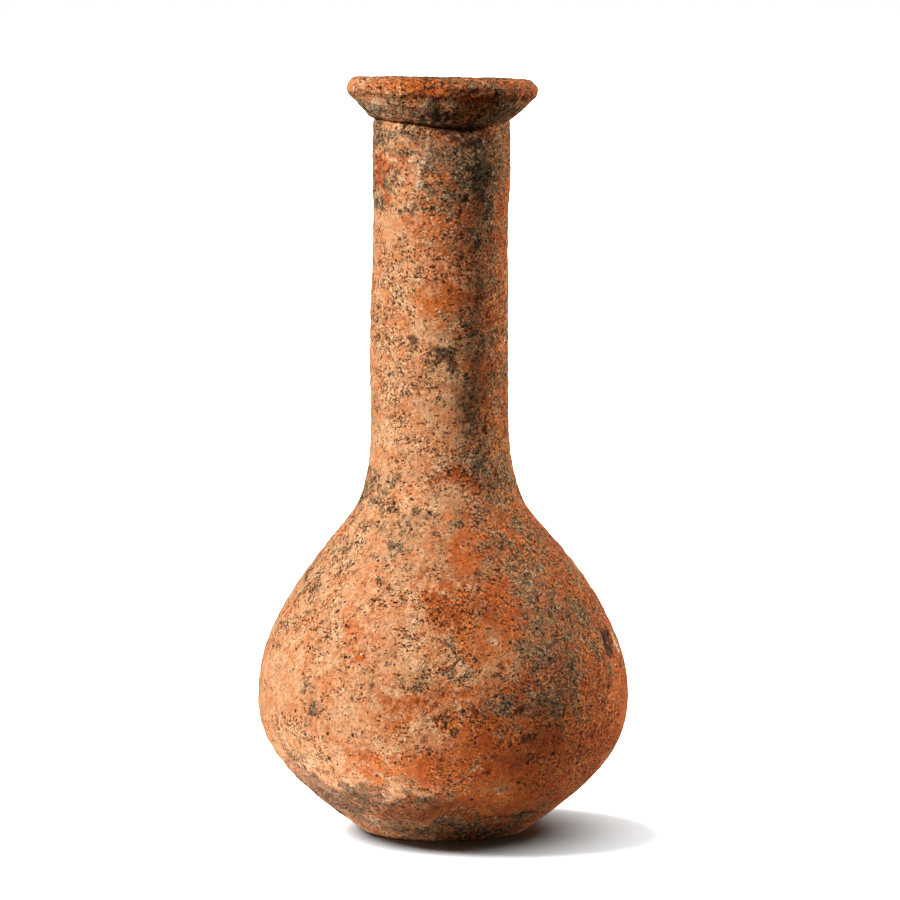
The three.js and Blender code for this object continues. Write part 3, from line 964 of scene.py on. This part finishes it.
def fired_clay():
    """Orange earthenware under a worn buff skin, grey crust, soot, red slip and specks of lime,
    with painted shade under the fold and down inside the mouth.
    """
    material = bpy.data.materials.new("fired_clay")
    material.use_nodes = True
    tree = material.node_tree
    shader = tree.nodes["Principled BSDF"]
    pattern = ClayPattern(tree)
    mix, over, grain, math = pattern.mix, pattern.over, pattern.grain, pattern.math
    stretched, broken = pattern.stretched, pattern.broken

    clay = mix(stretched(grain(*CLOUD_GRAIN), *CLOUD_STRETCH), CLAY_DEEP, CLAY_BRIGHT)
    clay = mix(stretched(grain(*RED_GRAIN), *RED_STRETCH, 0.0, MOST_RED), clay, CLAY_RED)
    skin = mix(stretched(grain(*SKIN_TONE_GRAIN), *SKIN_TONE_STRETCH), SKIN_PINK, SKIN_BUFF)
    colour = mix(broken("skin", *SKIN_BREAK), clay, skin)
    slip = broken("slip", *SLIP_BREAK)
    colour = mix(slip, colour, SLIP_RED)

    veil = broken("crust", *VEIL_BREAK)
    colour = over(colour, veil, VEIL_COVER, VEIL_GREY)
    crust_tone = stretched(grain(*CRUST_TONE_GRAIN), *CRUST_TONE_STRETCH)
    off_middle = math("ABSOLUTE", math("SUBTRACT", grain(*CRACK_GRAIN), 0.5))
    crackle = math("SUBTRACT", 1.0, pattern.edge(off_middle, *CRACK_EDGE))
    crust_colour = mix(crust_tone, CRUST_DARK, CRUST_PALE)
    crust_colour = over(crust_colour, crackle, CRACK_COVER, PIT_BROWN)
    crust = broken("crust", *CRUST_BREAK)
    colour = over(colour, crust, CRUST_COVER, crust_colour)
    colour = over(colour, broken("stain", *STAIN_BREAK), STAIN_COVER, STAIN_BROWN)
    # Soot, and painted shade under the fold at the front
    colour = over(colour, broken("soot_and_shade", *SOOT_AND_SHADE_BREAK), SOOT_AND_SHADE_COVER, SOOT_AND_SHADE)
    colour = over(colour, broken("lime", *LIME_BREAK), LIME_COVER, LIME)

    rough_patch, pits = pit_pattern(pattern, veil)
    colour = over(colour, pits, PIT_COVER, PIT_BROWN)
    colour = over(colour, pattern.level("hollow"), HOLLOW_COVER, PIT_BROWN)
    colour = speckled(pattern, colour, rough_patch, crust)
    # Painted shade down inside the mouth, in the dark crust colour
    colour = over(colour, pattern.level("inner"), MOUTH_SHADE_COVER, CRUST_DARK)
    tree.links.new(colour, shader.inputs["Base Color"])

    rough = stretched(slip, 0, 1, 0.92, 0.78)
    tree.links.new(rough, shader.inputs["Roughness"])
    shader.inputs["Specular IOR Level"].default_value = 0.2

    fine = math("MULTIPLY", grain(*BUMP_GRAIN), math("MULTIPLY_ADD", crust, 1.6, 2.6))
    caked = math("MULTIPLY", math("MULTIPLY", crust, math("SUBTRACT", crust_tone, crackle)), 0.4)
    raised = math("SUBTRACT", math("ADD", fine, caked), math("MULTIPLY", pits, 0.7))
    bump = add_node(tree, "ShaderNodeBump", {"Height": raised, "Strength": 1.0, "Distance": 0.2 * MM})
    tree.links.new(bump.outputs["Normal"], shader.inputs["Normal"])
    return material


def floor_ring(name, inner, outer, material, throws_light):
    """A flat ring of floor round the origin: rim points at equal turns on two circles. A ring that
    throws no light is white to the camera, but sends none of its light up to the flask. No ring
    shows in the flask's sheen."""
    turn = np.arange(FLOOR_SIDES) / FLOOR_SIDES * 2 * np.pi
    circle = np.stack([np.cos(turn), np.sin(turn), np.zeros(FLOOR_SIDES)], 1)
    around = np.arange(FLOOR_SIDES)
    after = (around + 1) % FLOOR_SIDES
    faces = np.stack([around, around + FLOOR_SIDES, after + FLOOR_SIDES, after], 1)
    mesh = bpy.data.meshes.new(name)
    mesh.from_pydata(np.vstack([circle * inner, circle * outer]).tolist(), [], faces.tolist())
    mesh.materials.append(material)
    floor = bpy.data.objects.new(name, mesh)
    bpy.context.scene.collection.objects.link(floor)
    floor.visible_diffuse = throws_light
    floor.visible_glossy = False
    return floor


def pale_floor():
    """A wide pale floor, grey in itself and brought up to white by its own two lights. Only the
    sheet near the flask throws light up at it."""
    material = bpy.data.materials.new("pale_floor")
    material.use_nodes = True
    shader = material.node_tree.nodes["Principled BSDF"]
    shader.inputs["Base Color"].default_value = (FLOOR_GREY, FLOOR_GREY, FLOOR_GREY, 1)
    shader.inputs["Roughness"].default_value = FLOOR_ROUGHNESS
    shader.inputs["Specular IOR Level"].default_value = FLOOR_SHINE
    return [
        floor_ring("floor_sheet", FLOOR_MIDDLE, FLOOR_SHEET, material, True),
        floor_ring("floor_beyond", FLOOR_SHEET, FLOOR_REACH, material, False),
    ]


def light_from(name, place, lit, colour=(1, 1, 1)):
    """A far, soft light on the things named as lit. Its place is azimuth, elevation, strength and
    softness: azimuth 0 is behind the camera, growing to the right; angles in degrees."""
    azimuth, elevation, strength, softness = place
    light = bpy.data.lights.new(name, "SUN")
    light.energy = strength * np.pi
    light.angle = np.radians(softness)
    light.color = colour
    made = bpy.data.objects.new(name, light)
    a, e = np.radians(azimuth), np.radians(elevation)
    back_to_light = Vector((np.sin(a) * np.cos(e), -np.cos(a) * np.cos(e), np.sin(e)))
    made.rotation_euler = back_to_light.to_track_quat("Z", "Y").to_euler()
    bpy.context.scene.collection.objects.link(made)
    group = bpy.data.collections.new(name + "_lights")
    for thing in lit:
        group.objects.link(thing)
    made.light_linking.receiver_collection = group


def studio(piece, floor):
    """A key light from the left and one from behind on the right for the flask, two wide ones
    above for the floor, and a white room that is dim in all but the camera's eye."""
    light_from("key", KEY_LIGHT, [piece], KEY_COLOUR)
    light_from("behind", LIGHT_BEHIND, [piece], COLOUR_BEHIND)
    light_from("above", FLOOR_LIGHT, floor)
    light_from("far_side", FAR_FLOOR_LIGHT, floor)
    world = bpy.data.worlds.new("white_room")
    bpy.context.scene.world = world
    world.use_nodes = True
    tree = world.node_tree
    background = tree.nodes["Background"]
    seen = add_node(tree, "ShaderNodeLightPath").outputs["Is Camera Ray"]
    inputs = {"Value": seen, "To Min": ROOM_STRENGTH, "To Max": 1.0}
    strength = add_node(tree, "ShaderNodeMapRange", inputs).outputs["Result"]
    inputs = {0: seen, 6: WARM_SHADE, 7: WHITE}
    colour = add_node(tree, "ShaderNodeMix", inputs, data_type="RGBA").outputs[2]
    tree.links.new(colour, background.inputs["Color"])
    tree.links.new(strength, background.inputs["Strength"])
    bpy.context.scene.view_settings.view_transform = "Standard"


def camera():
    """The photograph's camera, from its place towards its aim."""
    made = bpy.data.objects.new("camera", bpy.data.cameras.new("camera"))
    made.data.lens = CAMERA_LENS
    made.location = CAMERA_PLACE
    back = Vector(CAMERA_PLACE) - Vector(CAMERA_AIM)
    made.rotation_euler = back.to_track_quat("Z", "Y").to_euler()
    bpy.context.scene.collection.objects.link(made)
    bpy.context.scene.camera = made


camera()
vessel = flask()
vessel.data.materials.append(fired_clay())
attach(vessel, "root")
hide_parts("vessel")
studio(vessel, pale_floor())
